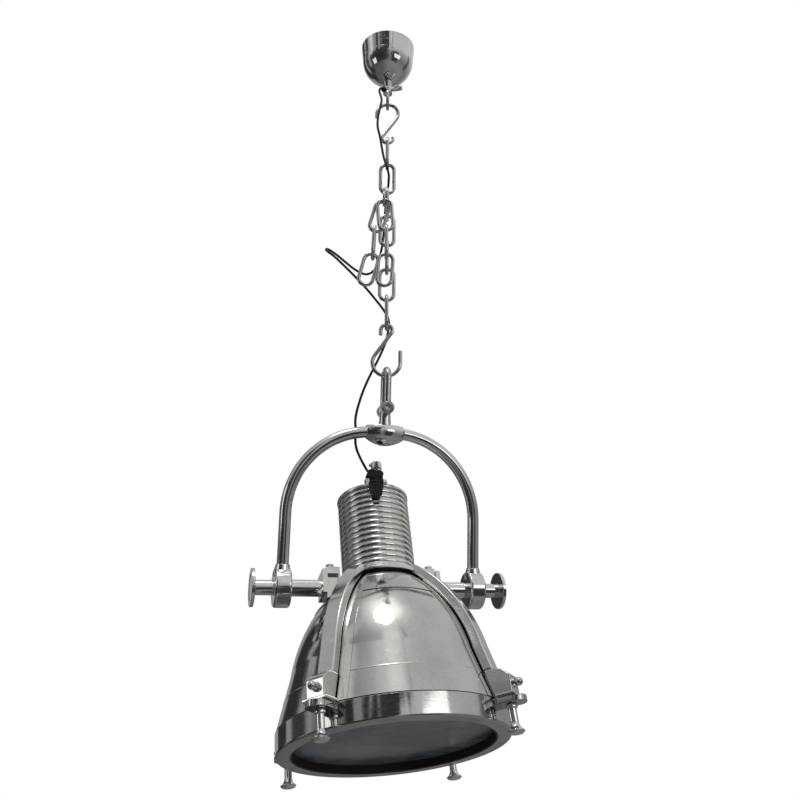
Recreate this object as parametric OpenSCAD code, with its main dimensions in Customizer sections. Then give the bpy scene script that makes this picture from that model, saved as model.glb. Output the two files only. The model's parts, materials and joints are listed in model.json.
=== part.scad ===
// Nautical searchlight pendant: ceiling canopy, seven-link chain with a spare loop, shackle,
// yoke and a tilting ribbed head. Origin: centre of the canopy's ceiling face, +Z up, -Y front.

/* [Pose] */
// tilt of the head from upright, its glass towards the front
head_tilt = 21; // [0:1:40]
// lean of the yoke that brings the tilted lamp under its hook
yoke_lean = 4.9; // [0:0.1:8]
// turn of canopy, chain and hooks against the yoke
hang_yaw = -15; // [-45:1:45]

/* [Canopy] */
// diameter of the canopy at the ceiling
canopy_d = 116; // [100:1:140]
// diameter where the tapered wall meets the round bottom
canopy_bottom_d = 110; // [84:1:114]
// height of the tapered wall
canopy_wall_h = 32; // [25:1:60]
// thickness of the spun sheet
canopy_t = 1.5; // [1:0.1:3]
// outside diameter of the threaded stem
stem_d = 10; // [8:0.5:12]
// bore of the stem for the cord
stem_bore = 6.4; // [5:0.1:7]
// diameter of the eye's collar under the canopy
eye_collar_d = 20; // [16:1:26]
// height of the eye's collar
eye_collar_h = 30; // [26:1:36]
// height of the eye loop below its collar
eye_drop = 38; // [36:1:60]
// wire of the eye loop
eye_wire = 7; // [5:0.5:9]

/* [Chain and hooks] */
// wire of links and load hooks
wire = 7.5; // [6:0.1:8]
// outside length of a link
link_len = 76; // [70:1:90]
// outside width of a link
link_w = 36; // [34:1:44]
// centreline radius of the top hook's large curl
top_hook_r = 23; // [20:0.5:26]
// centreline radius of the bottom hook's large curl
hook_big_r = 27.5; // [22:0.5:29]
// centreline radius of a hook's small curl
hook_small_r = 11.5; // [10:0.5:14]
// height of the top hook between its wire crowns
top_hook_h = 96; // [90:1:115]
// height of the bottom hook between its wire crowns
bottom_hook_h = 107; // [90:1:120]
// straight tip on the bottom hook
hook_tip = 24; // [10:1:30]
// straight tip on each hook's upper curl
upper_tip = 10; // [6:1:14]
// wire of the hook that carries the spare links
spare_wire = 5; // [4:0.1:5.2]
// height of that hook between its wire crowns
spare_hook_h = 71; // [68:1:76]
// play between hanging wires
play = 0.3; // [0.2:0.05:0.5]

/* [Shackle and swivel] */
// wire of the shackle bow
bow_wire = 14; // [10:0.5:16]
// clear width between the shackle's legs
bow_gap = 26; // [24:0.5:32]
// height from the bow's crown to the pin, centre to centre
bow_h = 78; // [70:1:90]
// diameter of the shackle's ears
ear_d = 26; // [24:1:32]
// turn of the shackle on its hook
shackle_turn = 10; // [0:1:12]
// diameter of the shackle pin
pin_d = 12; // [10:0.5:14]
// diameter of the swivel's shank in the yoke boss
shank_d = 14; // [12:0.5:18]
// running clearance on a radius
run_c = 0.05; // [0.03:0.01:0.1]

/* [Yoke] */
// outside diameter of the yoke tube
tube_d = 22; // [18:0.5:26]
// wall of the yoke tube
tube_t = 2; // [1.5:0.1:3]
// half the distance between the yoke's collars
yoke_r = 183; // [160:1:200]
// bend of the yoke's shoulders
bend_r = 160; // [140:1:165]
// height from the trunnion axis to the top of the yoke's centreline
yoke_h = 293; // [270:1:320]
// length of the boss on top of the yoke
boss_len = 74; // [64:1:90]
// diameter of the boss
boss_d = 50; // [44:1:60]
// height of the shackle pin above the yoke's centreline
pin_rise = 46; // [42:1:60]
// diameter of the yoke's collars
collar_d = 70; // [60:1:80]
// width of the yoke's collars
collar_w = 30; // [24:1:36]

/* [Trunnions] */
// diameter of the trunnion shafts
shaft_d = 30; // [24:1:36]
// diameter of the threaded end inside a lock knob
stud_d = 16; // [12:1:18]
// diameter of a lock knob's stem
knob_stem_d = 27; // [22:1:30]
// length of a lock knob's stem
knob_stem_len = 34; // [24:1:44]
// diameter of a lock knob's disc
knob_d = 68; // [50:1:80]
// thickness of a lock knob's disc
knob_t = 6; // [6:0.5:10]
// distance from the head's axis to the outer face of a trunnion bracket
bracket_x = 112; // [108:1:120]
// side of a bracket's square end plate
bracket_plate = 50; // [44:1:54]
// size across the flats of a bracket's bolts
bolt_flats = 13; // [10:0.5:14]

/* [Head] */
// radius of the shade's round shoulder
dome_r = 273; // [265:1:280]
// radius of the shade where its shoulder starts
dome_top_r = 74; // [70:1:76]
// how far the end of the shoulder lies inside the crease
shoulder_in = 12; // [8:1:16]
// depth of the shade's round shoulder
dome_h = 159; // [150:1:165]
// how far the crease lies inside the shade's bottom edge
crease_in = 14; // [10:1:18]
// depth of the crease below the shoulder
crease_drop = 42; // [34:1:48]
// how far the shade's bottom edge lies inside the rim
shade_in = 1; // [1:0.5:4]
// height of the shade below the crease
skirt_h = 45; // [38:1:52]
// thickness of the shade's sheet
shade_t = 2; // [1.5:0.1:3]
// radius of the ribbed neck to the crest of its ribs
neck_r = 69; // [66:0.5:70]
// height of the ribbed neck
neck_h = 156; // [140:1:170]
// number of ribs round the neck
neck_ribs = 14; // [10:1:16]
// wall of the neck behind its ribs
neck_t = 8; // [6:0.5:12]
// radius of the crown that carries the rib straps
crown_r = 81; // [79:0.5:84]
// height of the crown
crown_h = 16; // [12:1:20]
// height of the black packing between crown and shade
packing_h = 4; // [2:0.5:6]
// diameter of the lampholder
holder_d = 48; // [40:1:54]
// height of the lampholder
holder_h = 60; // [50:1:70]
// height of the lampholder's lower end above the trunnion axis
holder_z = 40; // [34:1:50]
// diameter of the bulb's globe
bulb_d = 84; // [60:1:90]
// diameter of the bulb's neck
bulb_neck_d = 28; // [24:1:32]

/* [Straps and rim] */
// width of a strap
strap_w = 30; // [20:1:32]
// depth of a strap
strap_t = 16; // [10:1:18]
// gap between strap and shade
strap_gap = 3; // [2:0.5:5]
// width of a strap's foot
foot_w = 32; // [28:1:36]
// height of a strap's foot
foot_h = 46; // [40:1:52]
// thickness of the flange under a foot
flange_t = 5; // [3:0.5:8]
// how far the flange stands out round the foot
flange_past = 5; // [3:0.5:8]
// how far the thumbscrews stand outside the rim
screw_past = 20; // [18:1:24]
// how far a foot reaches past its thumbscrew
foot_past = 11; // [9:1:15]
// width of the rim's face
rim_face = 27; // [25:1:32]
// height of the rim
rim_h = 36; // [30:1:44]
// clear radius of the rim's opening
rim_open_r = 168; // [160:1:172]
// depth of the glass above the rim's face
glass_recess = 15; // [10:1:20]
// thickness of the glass
glass_t = 6; // [4:0.5:8]
// thickness of the black packings at the glass and the rim
seal_t = 3; // [2:0.5:4]
// thickness of a rim lug
lug_t = 10; // [8:1:24]
// shank of a thumbscrew
thumb_d = 10; // [8:0.5:11]
// foot of a thumbscrew
thumb_foot_d = 29; // [26:1:34]
// length of a thumbscrew below its lug
thumb_len = 44; // [36:1:56]

/* [Cord] */
// diameter of the black cord
cord_d = 5; // [4:0.5:6]

/* [Hidden] */
$fn = 48;
eps = 0.01;
chrome = [0.78, 0.78, 0.76];
steel = [0.62, 0.63, 0.64];
black = [0.06, 0.06, 0.07];
slate = [0.30, 0.33, 0.35];

// canopy
canopy_dome_r = canopy_bottom_d / 2;
canopy_h = canopy_wall_h + canopy_dome_r;
bracket_t = 3;
eye_bottom_z = -canopy_h - eye_collar_h - eye_drop + eye_wire / 2;
grommet_d = 9;
eye_joint_h = 14;
stem_in = 14;

// heights of the hanging wires, down from the ceiling
wire_r = (link_w - wire) / 2;
link_span = link_len - wire;
link_lift = wire + play;
link_pitch = link_span - link_lift;
top_hook_z = eye_bottom_z + (eye_wire + wire) / 2 + play;
top_hook_end_z = top_hook_z - top_hook_h;
function link_top_z(k) = top_hook_end_z + link_lift - (k - 1) * link_pitch;
function link_end_z(k) = link_top_z(k) - link_span;
links = 7;
bottom_hook_z = link_end_z(links) + link_lift;
hang_z = bottom_hook_z - bottom_hook_h;

// spare links in front of the chain: two strands, each link hung on the last
spare_small_r = 8.7;
spare_big_r = 14;
spare_lean = 45;
spare_at = [-6.6, 0, link_end_z(2) + 1.25];
spare_run = spare_hook_h - spare_small_r - spare_big_r;
spare_c = spare_at - spare_run * [0, sin(spare_lean), cos(spare_lean)];
spare_rest = spare_c.z - spare_big_r + (spare_wire + wire) / 2 + 2;
function tail(crown, lean) = crown - link_span * [sin(lean), 0, cos(lean)];
left_lean = [15.5, 3, 14];
right_lean = [-4.5, 0, 4];
left_1 = [spare_c.x, spare_c.y + (wire + 0.6) / 2, spare_rest];
left_2 = tail(left_1, left_lean[0]) + [0, 0, link_lift + 0.7];
left_3 = tail(left_2, left_lean[1]) + [0, 0, link_lift + 0.7];
right_1 = [spare_c.x, spare_c.y - (wire + 0.6) / 2, spare_rest + 0.3];
right_2 = tail(right_1, right_lean[0]) + [0, 0, link_lift + 0.2];
right_3 = tail(right_2, right_lean[1]) + [0, 0, link_lift];

// lamp frame: origin on the trunnion axis
bow_z = (wire + bow_wire) / 2 + play;
bow_r = (bow_gap + bow_wire) / 2;
bow_yaw = hang_yaw + shackle_turn;
pin_z = yoke_h + pin_rise;
lamp_drop = pin_z + bow_h - bow_z;
arc_z = yoke_h - bend_r;
eye_w = bow_gap - 2 * play - 1;
socket_d = tube_d + 12;
socket_top = collar_d / 2 + 7;
arm_end = collar_d / 2 - 6;
arm_x = yoke_r - bend_r;
collar_out = yoke_r + collar_w / 2;
knob_x = collar_out + 0.5;

// head frame: origin on the trunnion axis, z along the neck
rim_r = rim_open_r + rim_face;
shade_r = rim_r - shade_in;
crease_r = shade_r - crease_in;
shoulder_r = crease_r - shoulder_in;
screw_circle_r = rim_r + screw_past;
dome_z = 3;
dome_top = [dome_top_r, dome_z];
shoulder = [shoulder_r, dome_z - dome_h];
dome_run = shoulder - dome_top;
dome_in = sqrt(dome_r ^ 2 - (norm(dome_run) / 2) ^ 2) / norm(dome_run);
dome_c = (dome_top + shoulder) / 2 + dome_in * [dome_run.y, -dome_run.x];
shoulder_n = (shoulder - dome_c) / dome_r;
crown_z = dome_z + packing_h;
neck_z = crown_z + crown_h;
cap_z = neck_z + neck_h;
cap_h = 9;
cap_top = cap_z + cap_h;
crease_z = shoulder.y - crease_drop;
skirt_z = crease_z - skirt_h;
rim_top = skirt_z - 1.5;
rim_z = rim_top - rim_h;
glass_z = rim_z + glass_recess;
glass_r = rim_open_r + 16;
rim_hollow_r = glass_r + 1;
lug_top = rim_top - 1;
lug_r = 17;
lug_past = 9;
neck_bore_r = neck_r - neck_t - 4;
clamp_at = [-3, -60];
seat_up = 4.5;
seat_turn = 34;
strap_turns = [-135, -45, 45, 135];

// points of one frame in another
function turn_x(p, a) = [p.x, p.y * cos(a) - p.z * sin(a), p.y * sin(a) + p.z * cos(a)];
function turn_z(p, a) = [p.x * cos(a) - p.y * sin(a), p.x * sin(a) + p.y * cos(a), p.z];
function lamp_point(p) = [0, 0, hang_z] + turn_x(p - [0, 0, lamp_drop], yoke_lean);
function head_point(p) = lamp_point(turn_x(p, -head_tilt - yoke_lean));

// cord: its route in the canopy's frame, from the grommet's bore to the clamp's
outlet_turn = 218;
outlet_z = -canopy_h - eye_collar_h + eye_joint_h / 2;
function outlet(r) = [r * cos(outlet_turn), r * sin(outlet_turn), outlet_z];
function seat(s) = turn_z(head_point([clamp_at.x - s * sin(seat_turn), clamp_at.y,
                                      cap_top + seat_up + s * cos(seat_turn)]), -hang_yaw);
cord_route = [
    outlet(eye_collar_d / 2 - 2), outlet(eye_collar_d / 2 + 4),
    [-16, -13, -113], [-18, -17, -123], [-15, -21, -137], [-13, -23, -150], [-15, -24, -163],
    [-20, -24, -191], [-21, -24, -216], [-16, -24, -241], [-8, -24, -289], [-1, -24, -313],
    [3, -16, -327], [3, 0, -331], [2, 16, -336], [-2, 25, -357], [-7, 28, -441],
    [-13, 30, -486], [-23, 32, -518], [-41, 34, -531], [-65, 35, -521], [-102, 36, -489],
    [-112, 36, -481], [-120, 33, -477], [-125, 26, -478], [-126, 19, -484], [-120, 16, -491],
    [-106, 17, -502], [-70, 20, -538], [-30, 23, -583], [3, 23, -633], [1, 22, -675], [-11, 21, -711],
    [-42, 18, -781], [-58, 18, -836], [-59, 20, -868], [-57, 27, -903], seat(38),
    seat(18), seat(4.3)];

function spline(p, i, t) =
    let (a = p[max(i - 1, 0)], b = p[i], c = p[i + 1], d = p[min(i + 2, len(p) - 1)])
    (2 * b + t * (c - a) + t ^ 2 * (2 * a - 5 * b + 4 * c - d) + t ^ 3 * (3 * b - a - 3 * c + d)) / 2;
cord_spans = len(cord_route) - 1;
cord_line = [for (i = [0:cord_spans - 1], t = [0, 0.5]) spline(cord_route, i, t), cord_route[cord_spans]];
function unit(v) = v / norm(v);
function square_to(v, way) = unit(v - (v * way) * way);

// frames
module hang() {
    rotate([0, 0, hang_yaw]) children();
}

module lamp() {
    translate([0, 0, hang_z]) rotate([yoke_lean, 0, 0]) translate([0, 0, -lamp_drop]) children();
}

module head() {
    lamp() rotate([-head_tilt - yoke_lean, 0, 0]) children();
}

// shapes that repeat
module along_x(x) {
    translate([x, 0, 0]) rotate([0, 90, 0]) children();
}

module arc_wire(r, d, from, span) {
    rotate([90, 0, 0]) rotate([0, 0, from]) rotate_extrude(angle = span) translate([r, 0]) circle(d = d);
}

// a chain link in the XZ plane, its middle at the origin
module ring_link() {
    half = link_span / 2 - wire_r;
    for (side = [-1, 1]) {
        translate([side * wire_r, 0, -half]) cylinder(d = wire, h = 2 * half);
        translate([0, 0, side * half]) arc_wire(wire_r, wire, side > 0 ? 0 : 180, 180);
    }
}

module load_link(k) {
    hang() translate([0, 0, link_top_z(k) - link_span / 2]) rotate([0, 0, 90 * (k % 2)]) ring_link();
}

// an S of wire in the XZ plane between two crowns h apart, its upper crown at the origin
module s_hook(upper_r, lower_r, h, d, upper_tail, lower_tail) {
    centres = h - upper_r - lower_r;
    slope = asin((upper_r + lower_r) / centres);
    shank = centres * cos(slope);
    translate([0, 0, -upper_r]) rotate([0, slope, 0]) translate([upper_r, 0, -shank]) {
        cylinder(d = d, h = shank);
        translate([-upper_r, 0, shank]) arc_wire(upper_r, d, 0, 180 + slope + upper_tail);
        translate([lower_r, 0, 0]) arc_wire(lower_r, d, 180, 180 + slope + lower_tail);
    }
}

// straight end of a hook's upper curl
module hook_end(r) {
    translate([-r, 0, -r - upper_tip]) cylinder(d = wire + 0.4, h = upper_tip + 2);
}

// half of the yoke's bent tube, on the +X side
module bent_tube(d, from_end) {
    translate([arm_x, 0, arc_z]) arc_wire(bend_r, d, 0, 90);
    translate([yoke_r, 0, from_end]) cylinder(d = d, h = arc_z - from_end);
}

module round_top(r, h, edge) {
    rotate_extrude() {
        square([r - edge, h]);
        square([r, h - edge]);
        translate([r - edge, h - edge]) circle(edge);
    }
}

module hex_bolt(across, h, shank, len) {
    cylinder(d = across / cos(30), h = h, $fn = 6);
    translate([0, 0, -len]) cylinder(d = shank, h = len + eps);
}

// meridian strip of the shade, from offset a to offset b outside its face
module shade_strip(a, b, top_angle) {
    low_angle = atan2(shoulder_n.y, shoulder_n.x);
    reach = 1.4 * dome_r;
    mid_angle = (low_angle + top_angle) / 2;
    intersection() {
        translate(dome_c) difference() {
            circle(dome_r + b, $fn = 180);
            circle(dome_r + a, $fn = 180);
        }
        translate(dome_c)
            polygon([[0, 0], for (t = [low_angle, mid_angle, top_angle]) reach * [cos(t), sin(t)]]);
    }
    polygon([shoulder + a * shoulder_n, [crease_r + a, crease_z], [shade_r + a, skirt_z],
             [shade_r + b, skirt_z], [crease_r + b, crease_z], shoulder + b * shoulder_n]);
}

dome_top_angle = atan2(dome_top.y - dome_c.y, dome_top.x - dome_c.x);

// everything inside the shade's face, grown by a gap
module shade_core(gap) {
    rotate_extrude() {
        shade_strip(-40, gap, dome_top_angle);
        polygon([[0, skirt_z], [shade_r - 30, skirt_z], [crease_r - 30, crease_z], shoulder - 30 * shoulder_n,
                 dome_top + [-20, -20], [0, dome_z - 20]]);
    }
}

// canopy body
module ceiling_bracket() {
    color(steel) hang() difference() {
        translate([-48, -11, -bracket_t]) cube([96, 22, bracket_t]);
        translate([0, 0, -bracket_t - 1]) cylinder(d = stem_d, h = bracket_t + 2);
        for (side = [-1, 1]) translate([side * 36, 0, -bracket_t - 1]) cylinder(d = 5, h = bracket_t + 2);
    }
}

// the canopy's outside, shrunk by a sheet's thickness: its taper runs a little into its round bottom
module canopy_form(shrink, above) {
    taper = (canopy_d - canopy_bottom_d) / 2 / canopy_wall_h;
    low = -canopy_wall_h - 3;
    top_r = canopy_d / 2 - shrink;
    translate([0, 0, low])
        cylinder(r1 = top_r + taper * low, r2 = top_r + taper * above, h = above - low, $fn = 96);
    translate([0, 0, -canopy_wall_h]) sphere(canopy_dome_r - shrink, $fn = 96);
}

module canopy() {
    color(chrome) hang() difference() {
        canopy_form(0, 0);
        canopy_form(canopy_t, 1);
        translate([-canopy_d, -canopy_d, 0]) cube(2 * canopy_d);
        translate([0, 0, -2 * canopy_h]) cylinder(d = stem_d, h = 2 * canopy_h);
    }
}

module canopy_stem() {
    color(steel) hang() difference() {
        translate([0, 0, -canopy_h - stem_in]) cylinder(d = stem_d, h = canopy_h + stem_in);
        translate([0, 0, -canopy_h - eye_collar_h]) cylinder(d = stem_bore, h = 2 * canopy_h);
    }
}

module stem_nut() {
    color(steel) hang() translate([0, 0, -bracket_t - 7]) difference() {
        cylinder(d = 17 / cos(30), h = 7, $fn = 6);
        translate([0, 0, -1]) cylinder(d = stem_d, h = 9);
    }
}

module canopy_eye() {
    loop_top = -canopy_h - eye_collar_h + eye_wire;
    loop_r = (link_w - eye_wire) / 2;
    straight = loop_top - eye_bottom_z - 2 * loop_r;
    color(chrome) hang() difference() {
        union() {
            translate([0, 0, -canopy_h - eye_collar_h]) cylinder(d = eye_collar_d, h = eye_joint_h);
            translate([0, 0, -canopy_h - eye_collar_h + eye_joint_h - 1])
                cylinder(d1 = stem_d + 4, d2 = eye_collar_d, h = eye_collar_h - eye_joint_h + 1);
            rotate([0, 0, 90]) {
                translate([0, 0, loop_top - loop_r]) arc_wire(loop_r, eye_wire, 0, 180);
                translate([0, 0, eye_bottom_z + loop_r]) arc_wire(loop_r, eye_wire, 180, 180);
                for (side = [-1, 1]) translate([side * loop_r, 0, eye_bottom_z + loop_r])
                    cylinder(d = eye_wire, h = straight);
            }
        }
        translate([0, 0, -canopy_h - stem_in]) cylinder(d = stem_d, h = eye_collar_h);
        eye_outlet() cylinder(d = grommet_d, h = eye_collar_d);
        eye_side() cylinder(d = 6, h = eye_collar_d);
    }
}

// where the cord's grommet and the side screw sit on the eye's collar
module eye_outlet() {
    translate([0, 0, outlet_z]) rotate([0, 90, outlet_turn])
        translate([0, 0, eye_collar_d / 2 - 3]) children();
}

module eye_side() {
    translate([0, 0, outlet_z]) rotate([0, 90, -25]) translate([0, 0, eye_collar_d / 2 - 4]) children();
}

module eye_screw() {
    color(chrome) hang() eye_side() rotate_extrude() {
        square([3, 14]);
        translate([0, 8]) polygon([[0, 0], [4, 0], [6, 16], [5, 20], [0, 20]]);
    }
}

module cord_grommet() {
    color(black) hang() eye_outlet() difference() {
        union() {
            cylinder(d = grommet_d, h = 6);
            translate([0, 0, 3.2]) cylinder(d = grommet_d + 3, h = 2.8);
        }
        translate([0, 0, 1]) cylinder(d = cord_d, h = 10);
    }
}

module terminal_block() {
    color([0.88, 0.86, 0.80]) hang() translate([14, -9, -bracket_t - 16]) difference() {
        cube([30, 18, 16]);
        for (i = [0:2]) translate([5 + 10 * i, -1, 8]) rotate([-90, 0, 0]) cylinder(d = 5, h = 20);
    }
}

// chain
module top_hook() {
    color(chrome) hang() translate([0, 0, top_hook_z]) {
        s_hook(top_hook_r, hook_small_r, top_hook_h, wire, 0, 10);
        hook_end(top_hook_r);
    }
}

module link_1() { color(chrome) load_link(1); }

module link_2() { color(chrome) load_link(2); }

module link_3() { color(chrome) load_link(3); }

module link_4() { color(chrome) load_link(4); }

module link_5() { color(chrome) load_link(5); }

module link_6() { color(chrome) load_link(6); }

module link_7() { color(chrome) load_link(7); }

module bottom_hook() {
    color(chrome) hang() translate([0, 0, bottom_hook_z]) {
        s_hook(hook_small_r, hook_big_r, bottom_hook_h, wire, 0, 0);
        hook_end(hook_small_r);
    }
    color(chrome) hang() translate([hook_big_r, 0, hang_z + hook_big_r - 2])
        cylinder(d = wire + 0.4, h = hook_tip + 2);
}

// spare links: two strands of three on a third hook, carried by link 2
module spare_hook() {
    color(chrome) hang() translate(spare_at) rotate([0, spare_lean, 90]) translate([0, 0, spare_small_r])
        s_hook(spare_small_r, spare_big_r, spare_hook_h, spare_wire, 25, 20);
}

module spare_link(crown, lean, turn) {
    translate(crown) rotate([0, lean, 0]) rotate([0, 0, turn]) translate([0, 0, -link_span / 2]) ring_link();
}

module spare_links() {
    color(chrome) hang() {
        spare_link(left_1, left_lean[0], 0);
        spare_link(left_2, left_lean[1], 90);
        spare_link(left_3, left_lean[2], 0);
        spare_link(right_1, right_lean[0], 0);
        spare_link(right_2, right_lean[1], 90);
        spare_link(right_3, right_lean[2], 0);
    }
}

// black cord from the eye's collar to the clamp on the cap
module cord() {
    sides = 8;
    rings = len(cord_line);
    ways = [for (i = [0:rings - 1]) unit(cord_line[min(i + 1, rings - 1)] - cord_line[max(i - 1, 0)])];
    ups = [for (i = 0, up = square_to([0, 0, 1], ways[0]); i < rings; i = i + 1,
                up = i < rings ? square_to(up, ways[i]) : up) up];
    skin = [for (i = [0:rings - 1], k = [0:sides - 1])
        let (turn = 360 * k / sides)
        cord_line[i] + cord_d / 2 * (cos(turn) * ups[i] + sin(turn) * cross(ways[i], ups[i]))];
    walls = [for (i = [0:rings - 2], k = [0:sides - 1])
        let (a = i * sides + k, b = i * sides + (k + 1) % sides)
        each [[a, a + sides, b + sides], [a, b + sides, b]]];
    ends = [[for (k = [0:sides - 1]) k], [for (k = [sides - 1:-1:0]) (rings - 1) * sides + k]];
    color(black) hang() polyhedron(concat(skin), concat(walls, ends));
}

// shackle and swivel, turned with the chain
module shackle_bow() {
    color(chrome) lamp() rotate([0, 0, bow_yaw + 90]) difference() {
        union() {
            translate([0, 0, pin_z + bow_h - bow_r]) arc_wire(bow_r, bow_wire, 0, 180);
            for (side = [-1, 1]) {
                translate([side * bow_r, 0, pin_z]) cylinder(d = bow_wire, h = bow_h - bow_r);
                translate([0, 0, pin_z]) along_x(side * bow_r - bow_wire / 2)
                    cylinder(d = ear_d, h = bow_wire);
            }
        }
        translate([0, 0, pin_z]) along_x(-50) cylinder(d = pin_d, h = 100);
    }
}

module shackle_pin() {
    out = bow_r + bow_wire / 2;
    color(chrome) lamp() rotate([0, 0, bow_yaw - 90]) translate([0, 0, pin_z]) {
        along_x(-out - 9) cylinder(d = pin_d, h = 2 * out + 9);
        along_x(out) round_top(11, 6, 2.5);
    }
}

module pin_nut() {
    out = bow_r + bow_wire / 2;
    color(chrome) lamp() rotate([0, 0, bow_yaw + 90]) translate([0, 0, pin_z]) along_x(out) difference() {
        cylinder(d = 20 / cos(30), h = 8, $fn = 6);
        translate([0, 0, -1]) cylinder(d = pin_d, h = 10);
    }
}

seat_z = yoke_h + tube_d / 2 + 2;

module swivel_eye() {
    color(chrome) lamp() rotate([0, 0, bow_yaw]) difference() {
        union() {
            translate([0, eye_w / 2, pin_z]) rotate([90, 0, 0]) cylinder(d = ear_d - 2, h = eye_w);
            translate([0, 0, seat_z + play]) cylinder(d1 = eye_w, d2 = eye_w - 4, h = pin_z - seat_z - 6);
            translate([0, 0, yoke_h - boss_d / 2 + 2]) cylinder(d = shank_d, h = boss_d);
        }
        translate([0, 50, pin_z]) rotate([90, 0, 0]) cylinder(r = pin_d / 2 + run_c, h = 100);
    }
}

nut_h = 9;

module swivel_nut() {
    color(steel) lamp() rotate([0, 0, bow_yaw]) translate([0, 0, yoke_h - boss_d / 2 + 1]) difference() {
        cylinder(d = 22, h = nut_h);
        translate([0, 0, 1]) cylinder(d = shank_d, h = nut_h);
    }
}

// yoke
module yoke_boss() {
    sag = boss_d / 2 - tube_d / 2 - 1.5;
    belly = ((boss_len / 2) ^ 2 + sag ^ 2) / (2 * sag);
    color(chrome) lamp() difference() {
        translate([0, 0, yoke_h]) rotate([0, 90, 0]) rotate_extrude() intersection() {
            translate([boss_d / 2 - belly, 0]) circle(belly, $fn = 96);
            translate([0, -boss_len / 2]) square([boss_d, boss_len]);
        }
        for (side = [0, 1]) mirror([side, 0, 0]) bent_tube(tube_d, 0);
        translate([0, 0, 0]) cylinder(r = shank_d / 2 + run_c, h = 2 * yoke_h);
        translate([-boss_d, -boss_d, seat_z]) cube(2 * boss_d);
        translate([0, 0, yoke_h - boss_d]) cylinder(d = 24, h = boss_d / 2 + 1 + nut_h + play);
    }
}

module yoke_arm() {
    color(chrome) difference() {
        bent_tube(tube_d, arm_end);
        bent_tube(tube_d - 2 * tube_t, arm_end - 1);
    }
}

module arm_left() { lamp() mirror([1, 0, 0]) yoke_arm(); }

module arm_right() { lamp() yoke_arm(); }

module yoke_collar() {
    color(chrome) difference() {
        union() {
            along_x(yoke_r - collar_w / 2) cylinder(d = collar_d, h = collar_w);
            translate([yoke_r, 0, shaft_d / 2 + 5])
                cylinder(d1 = socket_d, d2 = tube_d + 3, h = socket_top - shaft_d / 2 - 5);
        }
        along_x(yoke_r - collar_w) cylinder(r = shaft_d / 2 + run_c, h = 2 * collar_w);
        translate([yoke_r, 0, arm_end]) cylinder(d = tube_d, h = collar_d);
    }
}

module collar_left() { lamp() mirror([1, 0, 0]) yoke_collar(); }

module collar_right() { lamp() yoke_collar(); }

// trunnions and lock knobs
stud_end = knob_x + knob_stem_len + knob_t / 2;

module trunnion() {
    color(chrome) {
        along_x(bracket_x) cylinder(d = shaft_d, h = collar_out - bracket_x);
        along_x(collar_out - 1) cylinder(d = stud_d, h = stud_end - collar_out);
    }
}

module trunnion_left() { head() mirror([1, 0, 0]) trunnion(); }

module trunnion_right() { head() trunnion(); }

module lock_knob() {
    color(chrome) difference() {
        union() {
            along_x(knob_x) cylinder(d = knob_stem_d, h = knob_stem_len + 1);
            along_x(knob_x + knob_stem_len) round_top(knob_d / 2, knob_t, 3);
        }
        along_x(knob_x - 1) cylinder(r = stud_d / 2 + run_c, h = stud_end - knob_x + 1);
    }
}

module knob_left() { head() mirror([1, 0, 0]) lock_knob(); }

module knob_right() { head() lock_knob(); }

bracket_top = 34;
bracket_w = 40;
plate_t = 8;
plate_low = shaft_d / 2 + 2;

module trunnion_bracket() {
    inner = bracket_x - plate_t;
    color(chrome) difference() {
        union() {
            translate([crown_r - 20, -bracket_w / 2, -bracket_top])
                cube([inner - crown_r + 20 + eps, bracket_w, 2 * bracket_top]);
            translate([inner, -bracket_plate / 2, -plate_low])
                cube([plate_t, bracket_plate, plate_low + bracket_plate / 2 + 3]);
        }
        shade_core(0);
        translate([0, 0, -bracket_top - 1]) cylinder(r = crown_r, h = 2 * bracket_top + 2, $fn = 96);
        for (side = [-1, 1]) translate([crown_r + 1, side * bracket_w / 2 - 9, 3])
            cube([inner - crown_r - 3, 18, 18]);
        wing_screw_at() translate([0, 0, -6]) cylinder(d = 6, h = 30);
        bracket_holes() translate([0, 0, -12]) cylinder(d = 8, h = 20);
    }
}

module bracket_holes() {
    for (y = [-11, 11]) translate([(crown_r + bracket_x - plate_t) / 2 + 3, y, bracket_top]) children();
}

// a wing screw that slopes out of the plate in front of the shaft
module wing_screw_at() {
    translate([bracket_x - plate_t / 2, -shaft_d / 2 - 5, 8 - shaft_d / 2]) rotate([0, 135, 0]) children();
}

module bracket_left() { head() mirror([1, 0, 0]) trunnion_bracket(); }

module bracket_right() { head() trunnion_bracket(); }

module bracket_bolts() {
    color(steel) head() for (side = [0, 1]) mirror([side, 0, 0]) {
        bracket_holes() hex_bolt(bolt_flats, bolt_flats / 2, 8, 7);
        wing_screw_at() {
            translate([0, 0, -5]) cylinder(d = 6, h = 20);
            translate([0, 0, 15]) sphere(d = 10);
            translate([-2, -7, 10]) cube([4, 14, 9]);
        }
    }
}

// head
module packing() {
    color(black) head() translate([0, 0, dome_z]) difference() {
        cylinder(r = dome_top_r - 3, h = packing_h, $fn = 96);
        translate([0, 0, -1]) cylinder(r = neck_bore_r, h = packing_h + 2);
    }
}

module crown() {
    step = crown_h / 3;
    color(chrome) head() translate([0, 0, crown_z]) rotate_extrude($fn = 96) difference() {
        union() {
            square([crown_r, crown_h - 2 * step]);
            square([crown_r - 4, crown_h - step]);
            square([neck_r + 3, crown_h]);
        }
        translate([-1, -1]) square([neck_bore_r + 1, crown_h + 2]);
    }
}

module neck() {
    pitch = neck_h / neck_ribs;
    bead = pitch * 0.42;
    color(chrome) head() translate([0, 0, neck_z]) rotate_extrude($fn = 96) {
        translate([neck_bore_r, 0]) square([neck_r - bead - neck_bore_r, neck_h]);
        for (i = [0:neck_ribs - 1]) translate([neck_r - bead, pitch * (i + 0.5)]) circle(bead, $fn = 24);
    }
}

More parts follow.
